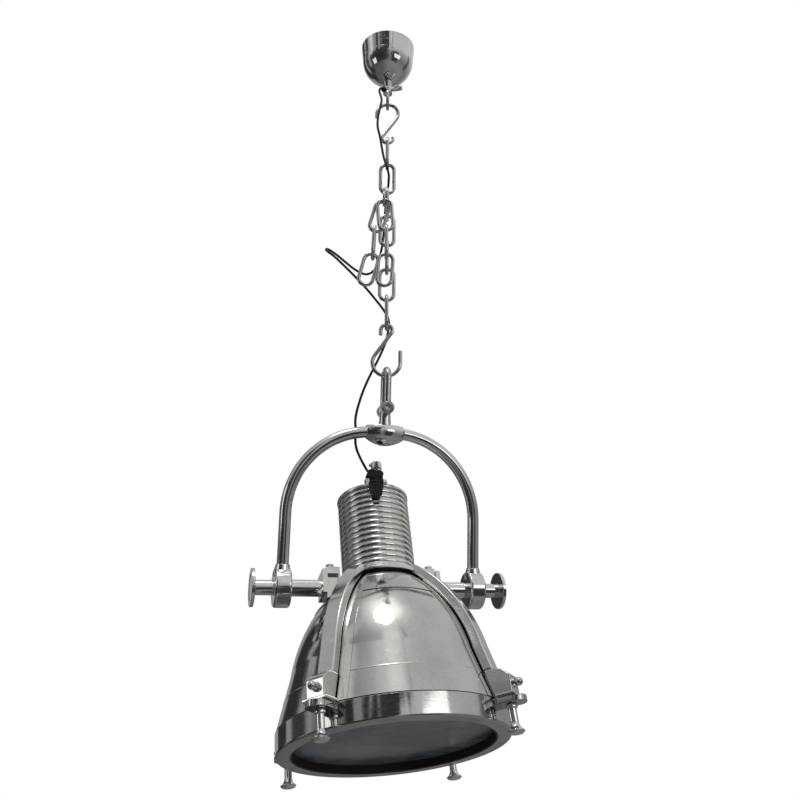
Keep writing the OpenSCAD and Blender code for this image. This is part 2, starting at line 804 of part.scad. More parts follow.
module cap() {
    color(chrome) head() translate([0, 0, cap_z]) round_top(neck_r + 1, cap_h, 4, $fn = 96);
}

module lampholder() {
    color([0.9, 0.88, 0.83]) head() rotate_extrude() {
        translate([0, holder_z]) square([holder_d / 2, holder_h]);
        translate([0, holder_z]) square([holder_d / 5, cap_z - holder_z]);
    }
}

module bulb() {
    globe = bulb_d / 2;
    color([0.9, 0.9, 0.88]) head() rotate_extrude() {
        translate([0, holder_z - bulb_neck_d]) square([bulb_neck_d / 2, bulb_neck_d]);
        intersection() {
            translate([0, holder_z - bulb_neck_d - globe + bulb_neck_d / 7]) circle(globe);
            translate([0, holder_z - 3 * bulb_d]) square(3 * bulb_d);
        }
    }
}

module cord_clamp() {
    tongue_x = -9;
    color(black) head() translate([clamp_at.x, clamp_at.y, cap_top]) difference() {
        union() {
            translate([-23, -22, 0]) cube([28, 34, 10]);
            translate([tongue_x, -13, 0]) rotate([90, 0, 0]) linear_extrude(9)
                polygon([[-14, 10], [14, 10], [13, -14], [9, -34], [4, -39], [-4, -39], [-9, -34], [-13, -14]]);
            translate([tongue_x - 7, -6, 11]) rotate([90, 0, 0]) cylinder(d = 19, h = 18);
            translate([tongue_x + 8, -6, 12]) rotate([90, 0, 0]) cylinder(d = 15, h = 17);
            translate([tongue_x, -17.5, -4]) along_x(-14) cylinder(d = 12, h = 28);
            translate([0, 0, 9]) cylinder(d = 20, h = 15);
        }
        clamp_bolt_at() along_x(-30) cylinder(d = 6, h = 60);
        cord_seat() cylinder(d = cord_d + 6 * play, h = 40);
    }
}

// the clamp's cross bolt, in the clamp's own frame
module clamp_bolt_at() {
    translate([-9, -17.5, -4]) children();
}

// where the cord enters the clamp's ring, in the clamp's own frame
module cord_seat() {
    translate([0, 0, seat_up]) rotate([0, -seat_turn, 0]) translate([0, 0, 4]) children();
}

module clamp_bolt() {
    color(chrome) head() translate([clamp_at.x, clamp_at.y, cap_top]) clamp_bolt_at() {
        along_x(-22) cylinder(d = 6, h = 44);
        for (side = [0, 1]) mirror([side, 0, 0]) along_x(14) cylinder(d = 11 / cos(30), h = 6, $fn = 6);
    }
}

module gland() {
    color(chrome) head() translate([clamp_at.x, clamp_at.y, cap_top + 24]) {
        cylinder(d = 16, h = 12);
        translate([0, 0, 11]) round_top(10.5, 15, 3);
        translate([0, 0, 20]) along_x(-14) cylinder(d = 7, h = 14);
    }
}

module shade() {
    color(chrome) head() rotate_extrude($fn = 120) {
        shade_strip(-shade_t, 0, dome_top_angle);
        translate([neck_bore_r, dome_z - shade_t]) square([dome_top_r - neck_bore_r, shade_t]);
    }
}

// strap with its foot, along +X
foot_out = screw_circle_r + foot_past;
foot_top = lug_top + foot_h;

module strap() {
    color(chrome) difference() {
        union() {
            intersection() {
                rotate_extrude($fn = 120) shade_strip(strap_gap, strap_gap + strap_t, dome_top_angle + 5);
                translate([0, -strap_w / 2, foot_top - 10]) cube([foot_out, strap_w, 300]);
            }
            difference() {
                union() {
                    translate([0, foot_w / 2, 0]) rotate([90, 0, 0]) linear_extrude(foot_w)
                        polygon([[crease_r, lug_top], [foot_out, lug_top], [foot_out, foot_top - 14],
                                 [foot_out - 12, foot_top - 3], [foot_out - 24, foot_top],
                                 [crease_r, foot_top]]);
                    translate([crease_r, -foot_w / 2 - flange_past, lug_top])
                        cube([foot_out + flange_past - crease_r, foot_w + 2 * flange_past, flange_t]);
                }
                shade_core(strap_gap + 1);
                translate([0, 0, lug_top - 1])
                    cylinder(r = shade_r + strap_gap + 1, h = skirt_z - lug_top + 1 + eps, $fn = 120);
            }
        }
        translate([0, 0, dome_z - dome_h / 2]) cylinder(r = crown_r, h = dome_h, $fn = 96);
        translate([screw_circle_r, 0, lug_top - 1]) cylinder(r = thumb_d / 2 + run_c, h = 18);
        foot_bolt_at() cylinder(d = 6, h = 20, center = true);
    }
}

module foot_bolt_at() {
    translate([foot_out, 0, lug_top + foot_h / 2 - 2]) rotate([0, 90, 0]) children();
}

module strap_1() { head() rotate([0, 0, strap_turns[0]]) strap(); }

module strap_2() { head() rotate([0, 0, strap_turns[1]]) strap(); }

module strap_3() { head() rotate([0, 0, strap_turns[2]]) strap(); }

module strap_4() { head() rotate([0, 0, strap_turns[3]]) strap(); }

module foot_bolts() {
    color(chrome) head() for (turn = strap_turns) rotate([0, 0, turn]) foot_bolt_at() {
        translate([0, 0, -10]) cylinder(d = 6, h = 14);
        cylinder(d = 15, h = 3);
        translate([0, 0, 8]) sphere(d = 13);
    }
}

// rim
module rim_seal() {
    color(black) head() translate([0, 0, rim_top]) difference() {
        cylinder(r = shade_r - 0.5, h = skirt_z - rim_top, $fn = 120);
        translate([0, 0, -1]) cylinder(r = rim_hollow_r + 1, h = 4, $fn = 120);
    }
}

module rim_ring() {
    edge = 4;
    color(chrome) head() difference() {
        union() {
            rotate_extrude($fn = 120) {
                translate([rim_hollow_r, rim_z]) square([rim_r - rim_hollow_r - edge, rim_h]);
                translate([rim_hollow_r, rim_z + edge]) square([rim_r - rim_hollow_r, rim_h - edge]);
                translate([rim_r - edge, rim_z + edge]) circle(edge);
                translate([rim_open_r + seal_t, rim_z]) square([20, glass_recess - seal_t]);
            }
            for (turn = strap_turns) rotate([0, 0, turn]) translate([0, 0, lug_top - lug_t]) {
                translate([rim_hollow_r + 4, -lug_r, 0])
                    cube([screw_circle_r + lug_past - rim_hollow_r - 4, 2 * lug_r, lug_t]);
                translate([screw_circle_r + lug_past, 0, 0]) cylinder(r = lug_r, h = lug_t);
            }
        }
        for (turn = strap_turns) rotate([0, 0, turn]) translate([screw_circle_r, 0, rim_z - 1])
            cylinder(r = thumb_d / 2 + run_c, h = 2 * rim_h);
    }
}

module glass_seal() {
    color(black) head() rotate_extrude($fn = 120) {
        translate([rim_open_r, rim_z + 1]) square([seal_t, glass_recess - 1]);
        translate([rim_open_r, glass_z - seal_t]) square([glass_r - rim_open_r, seal_t]);
    }
}

module glass() {
    color(slate) head() translate([0, 0, glass_z]) cylinder(r = glass_r, h = glass_t, $fn = 120);
}

// thumbscrew on its lug, along +X
module thumbscrew() {
    flare = 10;
    foot = thumb_foot_d / 2;
    slim = 6;
    color(chrome) translate([screw_circle_r, 0, lug_top - lug_t - play]) rotate_extrude() {
        square([thumb_d / 2, lug_t + 14]);
        translate([0, -6]) square([9, 6]);
        translate([0, 4 - thumb_len]) difference() {
            square([foot, thumb_len - 4]);
            translate([slim + flare, flare + 3]) circle(flare);
            translate([slim, flare + 3]) square([foot, thumb_len]);
        }
        translate([0, -thumb_len]) polygon([[0, 0], [foot - 4, 0], [foot, 4], [foot, 5], [0, 5]]);
    }
}

module thumbscrew_1() { head() rotate([0, 0, strap_turns[0]]) thumbscrew(); }

module thumbscrew_2() { head() rotate([0, 0, strap_turns[1]]) thumbscrew(); }

module thumbscrew_3() { head() rotate([0, 0, strap_turns[2]]) thumbscrew(); }

module thumbscrew_4() { head() rotate([0, 0, strap_turns[3]]) thumbscrew(); }

ceiling_bracket();
canopy();
canopy_stem();
stem_nut();
canopy_eye();
eye_screw();
cord_grommet();
terminal_block();
top_hook();
link_1();
link_2();
link_3();
link_4();
link_5();
link_6();
link_7();
bottom_hook();
spare_hook();
spare_links();
cord();
shackle_bow();
shackle_pin();
pin_nut();
swivel_eye();
swivel_nut();
yoke_boss();
arm_left();
arm_right();
collar_left();
collar_right();
trunnion_left();
trunnion_right();
knob_left();
knob_right();
bracket_left();
bracket_right();
bracket_bolts();
packing();
crown();
neck();
cap();
lampholder();
bulb();
cord_clamp();
clamp_bolt();
gland();
shade();
strap_1();
strap_2();
strap_3();
strap_4();
foot_bolts();
rim_seal();
rim_ring();
glass_seal();
glass();
thumbscrew_1();
thumbscrew_2();
thumbscrew_3();
thumbscrew_4();
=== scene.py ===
import json
import math

import bmesh
import bpy
from mathutils import Matrix, Vector


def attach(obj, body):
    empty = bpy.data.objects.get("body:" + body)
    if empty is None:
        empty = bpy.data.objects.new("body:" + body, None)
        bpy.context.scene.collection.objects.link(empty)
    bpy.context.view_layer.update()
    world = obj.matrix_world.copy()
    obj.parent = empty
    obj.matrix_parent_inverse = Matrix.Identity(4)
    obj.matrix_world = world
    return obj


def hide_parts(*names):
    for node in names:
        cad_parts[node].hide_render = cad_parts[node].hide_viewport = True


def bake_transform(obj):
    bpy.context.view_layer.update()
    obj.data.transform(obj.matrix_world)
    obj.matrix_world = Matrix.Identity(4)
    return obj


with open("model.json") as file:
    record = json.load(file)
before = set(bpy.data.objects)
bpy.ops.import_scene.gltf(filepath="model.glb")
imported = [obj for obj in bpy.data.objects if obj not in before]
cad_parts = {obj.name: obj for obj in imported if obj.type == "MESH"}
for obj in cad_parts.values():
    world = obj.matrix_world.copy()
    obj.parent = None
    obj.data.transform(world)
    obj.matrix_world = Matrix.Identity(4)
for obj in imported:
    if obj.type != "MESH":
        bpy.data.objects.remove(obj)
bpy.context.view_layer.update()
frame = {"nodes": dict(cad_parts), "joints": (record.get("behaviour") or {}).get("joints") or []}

scene = bpy.context.scene
scene.view_settings.view_transform = "Standard"
nodes = frame["nodes"]
joints = {joint["name"]: joint for joint in frame["joints"]}

MM = Matrix.Scale(0.001, 4)


# Frames of the hanging chain, the yoke and the head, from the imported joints

def joint_axis(name):
    axis = Vector(joints[name]["axis"]).normalized()
    return axis if axis.z > -0.5 else -axis


def frame_at(origin, across, up):
    turned_axes = Matrix((across, up.cross(across), up)).transposed()
    return Matrix.Translation(origin) @ turned_axes.to_4x4()


ACROSS = Vector((1, 0, 0))
TRUNNION = Vector(joints["head_tilt"]["pos_m"])
HANG = frame_at(Vector(), joint_axis("link_1_swing"), Vector((0, 0, 1))) @ MM
LAMP = frame_at(TRUNNION, ACROSS, joint_axis("yoke_turn")) @ MM
HEAD = frame_at(TRUNNION, ACROSS, joint_axis("thumbscrew_1_turn")) @ MM


def spun(degrees):
    return Matrix.Rotation(math.radians(degrees), 4, "Z")


def shift(x, y, z):
    return Matrix.Translation((x, y, z))


LIE_X = Matrix.Rotation(math.radians(90), 4, "Y")
MIRROR_X = Matrix.Scale(-1, 4, ACROSS)

# Camera at the photograph's viewing point

CAMERA_FROM_TRUNNION = Vector((-0.38526, -1.45101, -0.07219))
VIEW_WAY = Vector((0.26894, 0.92162, 0.27980))

lens = bpy.data.cameras.new("camera")
lens.lens = 35.49
lens.sensor_width = 36
camera = bpy.data.objects.new("camera", lens)
camera.location = TRUNNION + CAMERA_FROM_TRUNNION
camera.rotation_euler = VIEW_WAY.to_track_quat("-Z", "Y").to_euler()
scene.collection.objects.link(camera)
scene.camera = camera


# Shader trees

class Value:
    """A socket in a node tree: arithmetic on it adds Math nodes."""

    def __init__(self, tree, socket):
        self.tree = tree
        self.socket = socket

    def math(self, operation, first, second):
        return self.tree.node("ShaderNodeMath", {"operation": operation}, {0: first, 1: second})

    def __add__(self, other):
        return self.math("ADD", self, other)

    def __radd__(self, other):
        return self.math("ADD", other, self)

    def __sub__(self, other):
        return self.math("SUBTRACT", self, other)

    def __rsub__(self, other):
        return self.math("SUBTRACT", other, self)

    def __mul__(self, other):
        return self.math("MULTIPLY", self, other)

    def __rmul__(self, other):
        return self.math("MULTIPLY", other, self)


class Tree:
    """A node tree that is filled through one node-making method."""

    def __init__(self, owner):
        owner.use_nodes = True
        self.tree = owner.node_tree
        self.tree.nodes.clear()

    def node(self, kind, settings=None, sockets=None, out=0):
        made = self.tree.nodes.new(kind)
        for key, value in (settings or {}).items():
            if key == "stops":
                self.set_stops(made.color_ramp.elements, value)
            else:
                setattr(made, key, value)
        for key, value in (sockets or {}).items():
            if isinstance(value, Value):
                self.tree.links.new(value.socket, made.inputs[key])
            else:
                made.inputs[key].default_value = value
        return Value(self, made.outputs[out]) if made.outputs else None

    def set_stops(self, elements, stops):
        while len(elements) < len(stops):
            elements.new(0.5)
        for element, (place, colour) in zip(elements, stops):
            element.position = place
            element.color = colour if len(colour) == 4 else (*colour, 1)

    def noise(self, at, scale, detail=3.0, roughness=0.55):
        return self.node("ShaderNodeTexNoise", {}, {
            "Vector": at, "Scale": scale, "Detail": detail, "Roughness": roughness})

    def ramp(self, fac, *stops):
        return self.node("ShaderNodeValToRGB", {"stops": stops}, {"Fac": fac})

    def graded(self, value, low, high, out_low=0.0, out_high=1.0):
        return self.node("ShaderNodeMapRange", {"interpolation_type": "SMOOTHSTEP"}, {
            "Value": value, "From Min": low, "From Max": high, "To Min": out_low, "To Max": out_high})

    def mixed(self, fac, first, second):
        return self.node("ShaderNodeMix", {"data_type": "RGBA"}, {0: fac, 6: first, 7: second}, out=2)


def grey(level):
    return (level, level, level, 1)


def finish(name, slot, build, **constants):
    """A material: its build function returns the varying sockets, and the constants go on the shader."""
    material = bpy.data.materials.new(name)
    tree = Tree(material)
    at = tree.node("ShaderNodeTexCoord", out="Object")
    sockets = build(tree, at)
    sockets.update(constants)
    shader = tree.node("ShaderNodeBsdfPrincipled", {}, sockets)
    tree.node("ShaderNodeOutputMaterial", {}, {"Surface": shader})
    return material


def stretched(tree, at, x, y, z):
    return tree.node("ShaderNodeMapping", {}, {"Vector": at, "Scale": (x, y, z)})


def bumped(tree, height, strength, distance):
    return tree.node("ShaderNodeBump", {}, {"Height": height, "Strength": strength, "Distance": distance})


def polished(light, dark, gloss, haze, wave, wave_scale=16.0):
    """Plated metal buffed by hand: cloudy tone, wiped haze, hairline scratches and a soft unevenness."""
    def build(tree, at):
        cloud = tree.noise(at, 11.0, 5.0, 0.62)
        speck = tree.noise(at, 210.0, 2.0)
        wipe = tree.noise(stretched(tree, at, 1.0, 0.35, 4.0), 70.0, 4.0, 0.7)
        hair = tree.noise(stretched(tree, at, 0.05, 1.0, 1.0), 900.0, 2.0)
        tone = tree.graded(cloud + 0.25 * speck, 0.42, 0.86)
        colour = tree.mixed(tone, (*light, 1), (*dark, 1))
        rough = gloss + haze * tree.graded(wipe + 0.4 * cloud, 0.5, 1.0)
        swell = tree.noise(at, wave_scale, 1.5, 0.4)
        relief = swell * wave + hair * 0.00002
        return {"Base Color": colour, "Roughness": rough,
                "Normal": bumped(tree, relief, 1.0, 1.0)}
    return build


def satin(light, dark, gloss, haze, grain):
    """Turned or cast metal left with its tool grain."""
    def build(tree, at):
        cloud = tree.noise(at, 18.0, 4.0, 0.6)
        fine = tree.noise(at, 700.0, 2.0)
        colour = tree.mixed(tree.graded(cloud, 0.35, 0.75), (*light, 1), (*dark, 1))
        rough = gloss + haze * cloud
        return {"Base Color": colour, "Roughness": rough,
                "Normal": bumped(tree, fine * grain, 1.0, 1.0)}
    return build


def rubber(colour, worn, gloss):
    """Moulded black rubber with a dusty bloom and a fine skin."""
    def build(tree, at):
        bloom = tree.noise(at, 60.0, 5.0, 0.65)
        skin = tree.noise(at, 1400.0, 2.0)
        tone = tree.mixed(tree.graded(bloom, 0.45, 0.8), (*colour, 1), (*worn, 1))
        return {"Base Color": tone, "Roughness": gloss + 0.2 * bloom,
                "Normal": bumped(tree, skin * 0.00004, 1.0, 1.0)}
    return build


def slate_pane(tree, at):
    """Grey glass, frosted behind, with a faint mottle."""
    mottle = tree.noise(at, 24.0, 5.0, 0.7)
    drift = tree.noise(at, 7.0, 2.0)
    mix = tree.graded(mottle * 0.6 + drift * 0.6, 0.42, 0.78)
    colour = tree.mixed(mix, (0.030, 0.038, 0.044, 1), (0.105, 0.122, 0.132, 1))
    return {"Base Color": colour, "Roughness": 0.16 + 0.12 * mottle,
            "Normal": bumped(tree, mottle * 0.00012, 1.0, 1.0)}


def opal(tree, at):
    cloud = tree.noise(at, 30.0, 3.0)
    return {"Base Color": tree.mixed(cloud, (0.86, 0.85, 0.81, 1), (0.78, 0.77, 0.73, 1)),
            "Roughness": 0.3 + 0.1 * cloud}


def moulding(tree, at):
    cloud = tree.noise(at, 45.0, 4.0)
    return {"Base Color": tree.mixed(cloud, (0.74, 0.70, 0.60, 1), (0.62, 0.58, 0.49, 1)),
            "Roughness": 0.45 + 0.15 * cloud}


nickel = finish("polished_nickel", "polished_alloy", polished(
    (0.88, 0.87, 0.845), (0.70, 0.69, 0.665), 0.05, 0.12, 0.0006), Metallic=1.0)
# Spun sheet of the shade and rim: the same polished alloy as polished_nickel, but its colour is set darker.
# That darkness is painted shade standing in for the dimmer reflections these parts show.
spun_nickel_painted_shade = finish("spun_nickel_painted_shade", "polished_alloy", polished(
    (0.68, 0.67, 0.65), (0.56, 0.55, 0.53), 0.06, 0.10, 0.0010, 7.0), Metallic=1.0)
chain_nickel = finish("chain_nickel", "plated_steel", polished(
    (0.80, 0.79, 0.77), (0.54, 0.53, 0.51), 0.10, 0.16, 0.0003, 40.0), Metallic=1.0)
rim_satin = finish("satin_rim_face", "polished_alloy", satin(
    (0.60, 0.60, 0.60), (0.48, 0.48, 0.485), 0.34, 0.16, 0.00003), Metallic=1.0)
steel = finish("plain_steel_part", "plain_steel", satin(
    (0.46, 0.45, 0.44), (0.30, 0.29, 0.28), 0.24, 0.22, 0.00003), Metallic=1.0)
black_rubber = finish("black_rubber_part", "black_rubber", rubber(
    (0.006, 0.006, 0.007), (0.016, 0.016, 0.017), 0.38))
cord_black = finish("black_cord_sheath", "black_rubber", rubber(
    (0.007, 0.007, 0.008), (0.014, 0.014, 0.015), 0.34))
black_paint = finish("black_painted_casting", "black_paint", rubber(
    (0.004, 0.004, 0.005), (0.012, 0.011, 0.011), 0.16), **{"Specular IOR Level": 0.3})
slate_glass = finish("slate_glass_pane", "slate_glass", slate_pane)
opal_bulb = finish("opal_bulb_glass", "opal_bulb", opal)
insulator = finish("cream_insulator", "insulator", moulding)

PLAIN_NODES = {
    steel: "ceiling_bracket canopy_stem stem_nut swivel_nut",
    nickel: "canopy yoke_boss trunnion_left trunnion_right bracket_left bracket_right cap gland"
            " crown neck collar_left collar_right arm_left arm_right knob_left knob_right eye_screw"
            " strap_1 strap_2 strap_3 strap_4 thumbscrew_1 thumbscrew_2 thumbscrew_3 thumbscrew_4 rim_ring",
    spun_nickel_painted_shade: "shade",
    chain_nickel: "canopy_eye top_hook link_1 link_2 link_3 link_4 link_5 link_6 link_7 spare_hook"
                  " spare_links bottom_hook shackle_bow shackle_pin pin_nut swivel_eye clamp_bolt"
                  " foot_bolts bracket_bolts",
    black_rubber: "cord_grommet packing rim_seal glass_seal",
    cord_black: "cord",
    black_paint: "cord_clamp",
    slate_glass: "glass",
    opal_bulb: "bulb",
    insulator: "lampholder terminal_block",
}
for material, names in PLAIN_NODES.items():
    for name in names.split():
        nodes[name].data.materials.clear()
        nodes[name].data.materials.append(material)


# Making pieces

def outline(points, ring):
    """A line of (radius, height) points standing in the XZ plane, closed where it is a ring's section."""
    bm = bmesh.new()
    corners = [bm.verts.new((r, 0, z)) for r, z in points]
    for pair in zip(corners, corners[1:]):
        bm.edges.new(pair)
    if ring:
        bm.edges.new((corners[-1], corners[0]))
    return bm


def heal(bm):
    bmesh.ops.remove_doubles(bm, verts=bm.verts, dist=1e-4)
    bmesh.ops.recalc_face_normals(bm, faces=bm.faces)
    return bm


def ease(bm, width, edges=None, segments=3, sharp=30):
    """Rounds the given edges, or every edge sharper than an angle."""
    if edges is None:
        edges = [e for e in bm.edges if e.is_manifold and e.calc_face_angle(0) > math.radians(sharp)]
    bmesh.ops.bevel(bm, geom=edges, offset=width, offset_type="OFFSET", segments=segments,
                    profile=0.5, affect="EDGES", material=-1, clamp_overlap=True)
    return bm


def turned(points, edge=0.8, steps=96, ring=False, segments=3):
    """A shape turned on a lathe, about Z."""
    bm = outline(points, ring)
    bmesh.ops.spin(bm, geom=bm.verts[:] + bm.edges[:], axis=(0, 0, 1), cent=(0, 0, 0),
                   angle=math.tau, steps=steps, use_merge=True)
    heal(bm)
    return ease(bm, edge, segments=segments) if edge else bm


def block(low, high):
    bm = bmesh.new()
    bmesh.ops.create_cube(bm, size=1)
    low, high = Vector(low), Vector(high)
    bmesh.ops.scale(bm, vec=high - low, verts=bm.verts)
    bmesh.ops.translate(bm, vec=(low + high) / 2, verts=bm.verts)
    return bm


def sawn(points, width):
    """A side view in the XZ plane, sawn from bar of that width."""
    bm = bmesh.new()
    face = bm.faces.new([bm.verts.new((x, -width / 2, z)) for x, z in points])
    grown = bmesh.ops.extrude_face_region(bm, geom=[face])["geom"]
    moved = [g for g in grown if isinstance(g, bmesh.types.BMVert)]
    bmesh.ops.translate(bm, vec=(0, width, 0), verts=moved)
    return heal(bm)


def joined(*parts):
    """Several shells as one bmesh."""
    whole = bmesh.new()
    for part in parts:
        mesh = bpy.data.meshes.new("part")
        part.to_mesh(mesh)
        part.free()
        whole.from_mesh(mesh)
        bpy.data.meshes.remove(mesh)
    return whole


def placed(bm, matrix):
    bm.transform(matrix)
    if matrix.determinant() < 0:
        bmesh.ops.reverse_faces(bm, faces=bm.faces)
    return bm


def piece(name, bm, place, body, material, *replaced):
    """A finished piece on a body, standing for CAD nodes."""
    placed(bm, place)
    mesh = bpy.data.meshes.new(name)
    bm.to_mesh(mesh)
    bm.free()
    mesh.shade_smooth()
    mesh.set_sharp_from_angle(angle=math.radians(48))
    mesh.materials.append(material)
    obj = bpy.data.objects.new(name, mesh)
    scene.collection.objects.link(obj)
    weighted = obj.modifiers.new("even_normals", "WEIGHTED_NORMAL")
    weighted.keep_sharp = True
    if body:
        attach(obj, body)
    if replaced:
        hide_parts(*replaced)
    return obj


# Cord: part.scad's route, in the hanging frame, and the body that each stretch of it ends on

CORD_D = 5.0
OUTLET_TURN = math.radians(218)
OUTLET_Z = -110
CLAMP_AT = (-3.0, -60.0)
CAP_TOP = 188.0
SEAT_UP = 4.5
SEAT_TURN = math.radians(34)


def outlet(radius):
    return HANG @ Vector((radius * math.cos(OUTLET_TURN), radius * math.sin(OUTLET_TURN), OUTLET_Z))


def seat(depth):
    return HEAD @ Vector((CLAMP_AT[0] - depth * math.sin(SEAT_TURN), CLAMP_AT[1],
                          CAP_TOP + SEAT_UP + depth * math.cos(SEAT_TURN)))


ROUTE = [
    (-16, -13, -113), (-18, -17, -123), (-15, -21, -137), (-13, -23, -150), (-15, -24, -163),
    (-20, -24, -191), (-21, -24, -216), (-16, -24, -241), (-8, -24, -289), (-1, -24, -313),
    (3, -16, -327), (3, 0, -331), (2, 16, -336), (-2, 25, -357), (-7, 28, -441),
    (-13, 30, -486), (-23, 32, -518), (-41, 34, -531), (-65, 35, -521), (-102, 36, -489),
    (-112, 36, -481), (-120, 33, -477), (-125, 26, -478), (-126, 19, -484), (-120, 16, -491),
    (-106, 17, -502), (-70, 20, -538), (-30, 23, -583), (3, 23, -633), (1, 22, -675),
    (-11, 21, -711), (-42, 18, -781), (-58, 18, -836), (-59, 20, -868), (-57, 27, -903)]
ROUTE = [outlet(8), outlet(14)] + [HANG @ Vector(p) for p in ROUTE] + [seat(38), seat(18), seat(4.3)]
STRETCHES = [
    ("top_hook", 6.0), ("link_1", 9.0), ("link_2", 13.0), ("link_3", 15.5), ("link_4", 16.2),
    ("link_5", 18.0), ("link_6", 29.0), ("link_7", 30.0), ("bottom_hook", 32.0), ("shackle", 32.9),
    ("swivel", 33.5), ("yoke", 34.9), ("head", 39.0)]
SAMPLES = 10


def on_route(place):
    """A point on the smooth curve through the route's points."""
    i = min(int(place), len(ROUTE) - 2)
    t = place - i
    a, b = ROUTE[max(i - 1, 0)], ROUTE[i]
    c, d = ROUTE[i + 1], ROUTE[min(i + 2, len(ROUTE) - 1)]
    return (2 * b + t * (c - a) + t ** 2 * (2 * a - 5 * b + 4 * c - d)
            + t ** 3 * (3 * b - a - 3 * c + d)) / 2


def ring_places(line):
    """A place square to the line at each of its points, carried along without twist."""
    ways = [(line[min(i + 1, len(line) - 1)] - line[max(i - 1, 0)]).normalized() for i in range(len(line))]
    turn = Vector((0, 0, 1)).rotation_difference(ways[0])
    places = []
    for i, way in enumerate(ways):
        if i:
            turn = ways[i - 1].rotation_difference(way) @ turn
        places.append(Matrix.Translation(line[i]) @ turn.to_matrix().to_4x4())
    return places


def tube(places, radius, sides=14):
    """A round tube through the places, open at its ends."""
    bm = bmesh.new()
    ring = bmesh.ops.create_circle(bm, radius=radius, segments=sides)["verts"]
    bmesh.ops.transform(bm, matrix=places[0], verts=ring)
    edges = bm.edges[:]
    for here, there in zip(places, places[1:]):
        grown = bmesh.ops.extrude_edge_only(bm, edges=edges)["geom"]
        ring = [g for g in grown if isinstance(g, bmesh.types.BMVert)]
        edges = [g for g in grown if isinstance(g, bmesh.types.BMEdge) and all(v in ring for v in g.verts)]
        bmesh.ops.transform(bm, matrix=there @ here.inverted(), verts=ring)
    bmesh.ops.recalc_face_normals(bm, faces=bm.faces)
    return bm


cord_steps = [i / SAMPLES for i in range((len(ROUTE) - 1) * SAMPLES + 1)]
cord_line = [on_route(step) for step in cord_steps]
cord_places = ring_places(cord_line)
held_by, start = "canopy", 0
for body, end_step in STRETCHES:
    end = round(end_step * SAMPLES)
    line = cord_line[start:end + 1]
    sheath = tube(cord_places[start:end + 1], CORD_D / 2000)
    stretch = piece("cord_to_" + body, sheath, Matrix(), None, cord_black)
    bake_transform(stretch)
    length = sum((b - a).length for a, b in zip(line, line[1:]))
    if held_by == "canopy":
        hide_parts("cord")
    held_by, start = body, end

# Head: the spun shade, its cover plate and the ribbed neck

DOME_R, DOME_C = 273.0, Vector((-100.2, -207.3))
DOME_TOP_R, DOME_Z = 74.0, 3.0
SHOULDER = Vector((168.0, -156.0))
CREASE = Vector((180.0, -198.0))
SKIRT = Vector((194.0, -243.0))
RIM_Z, RIM_TOP, RIM_R = -280.5, -244.5, 195.0
SHADE_HOLE_R, SHEET_T = 57, 2
STRAP_TURNS = (-135, -45, 45, 135)

dome_top_angle = math.atan2(DOME_Z - DOME_C.y, DOME_TOP_R - DOME_C.x)
dome_low_angle = math.atan2(SHOULDER.y - DOME_C.y, SHOULDER.x - DOME_C.x)


def dome_arc(offset, first, last, steps):
    angles = [first + (last - first) * i / steps for i in range(steps + 1)]
    radius = DOME_R + offset
    return [(DOME_C.x + radius * math.cos(a), DOME_C.y + radius * math.sin(a)) for a in angles]


def shade_line(offset, steps=40):
    """The shade's meridian from its top to its bottom edge, moved outwards."""
    return dome_arc(offset, dome_top_angle, dome_low_angle, steps) + [
        (CREASE.x + offset, CREASE.y), (SKIRT.x + offset, SKIRT.y)]


# The sheet's crease is a low rolled bead
shade_outside = shade_line(0)
shade_outside[-2:-1] = [(CREASE.x - 0.2, CREASE.y + 1.6), (CREASE.x + 0.7, CREASE.y + 0.5),
                        (CREASE.x + 0.9, CREASE.y - 0.4), (CREASE.x + 0.75, CREASE.y - 1.6)]
shade_section = ([(SHADE_HOLE_R, DOME_Z)] + shade_outside + shade_line(-SHEET_T)[::-1]
                 + [(SHADE_HOLE_R, DOME_Z - SHEET_T)])
piece("shade_spun", turned(shade_section, edge=0.5, steps=160, ring=True, segments=2),
      HEAD, "head", spun_nickel_painted_shade, "shade")

COVER_EDGE_R, COVER_GAP, COVER_TOP = 124, 0.1, 1.3
cover_low_angle = math.acos((COVER_EDGE_R - DOME_C.x) / (DOME_R + 1.2))
cover_section = (dome_arc(COVER_TOP, dome_top_angle, cover_low_angle, 16)
                 + dome_arc(COVER_GAP, cover_low_angle, dome_top_angle, 16))
piece("shade_cover", turned(cover_section, edge=0.4, steps=144, ring=True, segments=2),
      HEAD, "head", spun_nickel_painted_shade)

COVER_SCREW_TURNS = (-104.2, -14.2, 75.8, 165.8)
COVER_SCREW_R, COVER_SCREW_Z, COVER_SEAT_Z = 107.4, -29.1, -29.4
cover_screws = []
for turn in COVER_SCREW_TURNS:
    tilt = math.asin((COVER_SEAT_Z - DOME_C.y) / DOME_R)
    head_screw = turned([(0, 0), (3.2, 0), (3.2, 1.6), (2.4, 2.4), (0, 2.4)], edge=0.3, steps=24, segments=2)
    lean = Matrix.Rotation(math.pi / 2 - tilt, 4, "Y")
    cover_screws.append(placed(head_screw, spun(turn) @ shift(COVER_SCREW_R, 0, COVER_SCREW_Z) @ lean))
piece("cover_screws", joined(*cover_screws), HEAD, "head", steel)

NECK_Z, NECK_R, NECK_H, NECK_RIBS, NECK_BORE = 23.0, 69.0, 156.0, 14, 57.0
rib_pitch = NECK_H / NECK_RIBS
RIB_DEPTH = 2.6
bead = rib_pitch * 0.46
neck_section = [(NECK_BORE, NECK_Z)]
for rib in range(NECK_RIBS):
    middle = NECK_Z + rib_pitch * (rib + 0.5)
    neck_section += [(NECK_R - RIB_DEPTH + RIB_DEPTH * math.cos(a), middle + bead * math.sin(a))
                     for a in (math.radians(-90 + 180 * i / 12) for i in range(13))]
neck_section.append((NECK_BORE, NECK_Z + NECK_H))
piece("neck_ribbed", turned(neck_section, edge=0, steps=128, ring=True), HEAD, "head", nickel, "neck")

